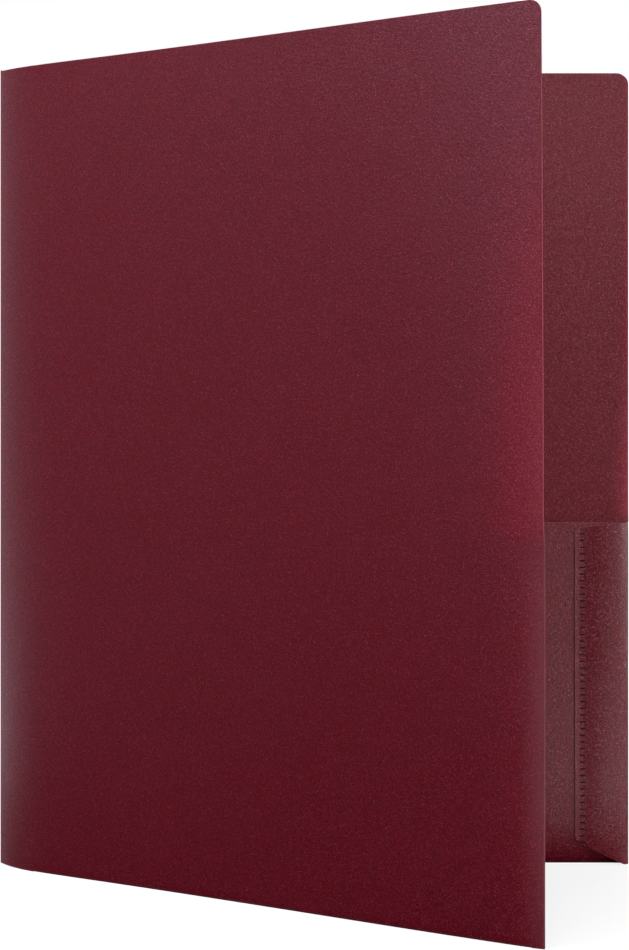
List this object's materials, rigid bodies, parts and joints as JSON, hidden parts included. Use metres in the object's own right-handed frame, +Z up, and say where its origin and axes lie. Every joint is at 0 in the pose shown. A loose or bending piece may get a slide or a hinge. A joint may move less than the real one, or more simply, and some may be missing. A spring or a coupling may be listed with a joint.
{
  "type": "two pocket folder",
  "caption": "Letter-size folder of embossed polypropylene sheet: covers joined by a creased spine, each with a pocket folded up inside and held by a welded side flap.",
  "frame": {"origin": "centre of the folder's footprint on the surface that it stands on", "axes": "+X along the back cover from the spine to its free edge, +Y out of the back cover's outer face, +Z up"},
  "size_m": [0.2368, 0.1432, 0.2985],
  "materials": {
    "poly_sheet": "dark burgundy polypropylene, slightly translucent, fine sand embossing",
    "fold": "the same sheet where it is scored and bent, a little paler",
    "weld": "smooth pressed bottom of an ultrasonic weld bar"
  },
  "bodies": {
    "back": {"back_cover": "poly_sheet", "back_pocket": "poly_sheet", "back_side_flap": "poly_sheet", "back_pocket_fold": "fold", "back_flap_fold": "fold", "back_weld_spots": "weld"},
    "spine": {"spine_strip": "poly_sheet", "back_spine_crease": "fold", "front_spine_crease": "fold"},
    "front": {"front_cover": "poly_sheet", "front_pocket": "poly_sheet", "front_side_flap": "poly_sheet", "front_pocket_fold": "fold", "front_flap_fold": "fold", "front_weld_spots": "weld"}
  },
  "joints": [
    {"name": "back_crease_hinge", "type": "hinge", "parent": "spine", "child": "back", "pos_m": [-0.11663, 0.07132, 0.15], "axis": [0, 0, 1], "range_deg": [-17.5, 162]},
    {"name": "front_crease_hinge", "type": "hinge", "parent": "spine", "child": "front", "pos_m": [-0.11812, 0.06676, 0.15], "axis": [0, 0, -1], "range_deg": [-17.5, 162]}
  ],
  "couplings": [
    {"joint": "front_crease_hinge", "follows": "back_crease_hinge", "ratio": 1}
  ]
}
